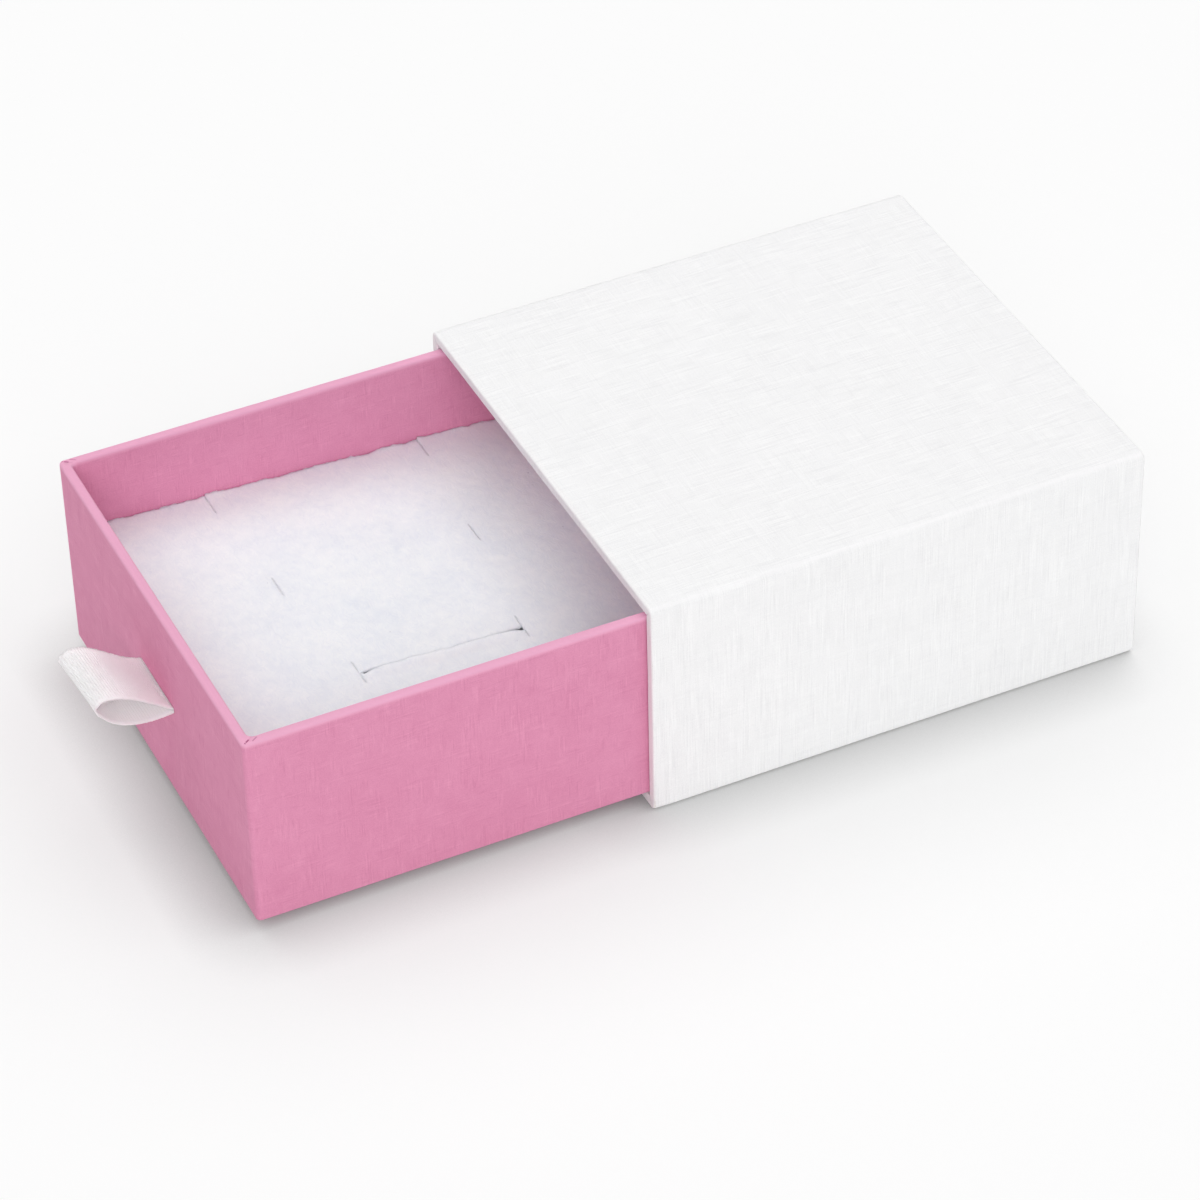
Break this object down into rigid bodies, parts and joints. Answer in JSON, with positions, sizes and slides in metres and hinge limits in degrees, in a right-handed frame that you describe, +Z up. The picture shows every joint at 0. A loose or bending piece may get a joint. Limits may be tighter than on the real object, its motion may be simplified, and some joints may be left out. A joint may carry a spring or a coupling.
{
  "type": "drawer gift box",
  "caption": "Small paper-covered rigid gift box: a tray with a ribbon pull loop and a slit foam pad slides out of a closed-back sleeve.",
  "frame": {"origin": "middle of the sleeve's underside, on the surface the box stands on", "axes": "+Z up, +Y from the sleeve's mouth to its closed back, +X to the right seen from the drawer's front panel with +Y away; the drawer opens towards -Y"},
  "size_m": [0.0756, 0.1527, 0.0374],
  "materials": {
    "white_linen_paper": "matte",
    "pink_linen_paper": "matte",
    "lining_paper": "matte",
    "greyboard": "matte",
    "joint_tape": "matte",
    "white_ribbon": "satin",
    "white_foam": "matte",
    "white_flock": "matte"
  },
  "bodies": {
    "sleeve": {"sleeve_top_board": "greyboard", "sleeve_bottom_board": "greyboard", "sleeve_left_board": "greyboard", "sleeve_right_board": "greyboard", "sleeve_back_board": "greyboard", "sleeve_edge_tapes": "joint_tape", "sleeve_wrap": "white_linen_paper", "sleeve_back_sheet": "white_linen_paper", "sleeve_lining": "lining_paper"},
    "drawer": {"drawer_base_board": "greyboard", "drawer_front_board": "greyboard", "drawer_back_board": "greyboard", "drawer_left_board": "greyboard", "drawer_right_board": "greyboard", "drawer_corner_tapes": "joint_tape", "drawer_wrap": "pink_linen_paper", "drawer_base_liner": "pink_linen_paper", "ribbon_pull": "white_ribbon", "ribbon_tail_patch": "pink_linen_paper", "foam_pad": "white_foam", "flocked_top": "white_flock"}
  },
  "joints": [
    {"name": "drawer_slide", "type": "slide", "parent": "sleeve", "child": "drawer", "axis": [0, -1, 0], "range_m": [-0.061, 0.02]}
  ]
}
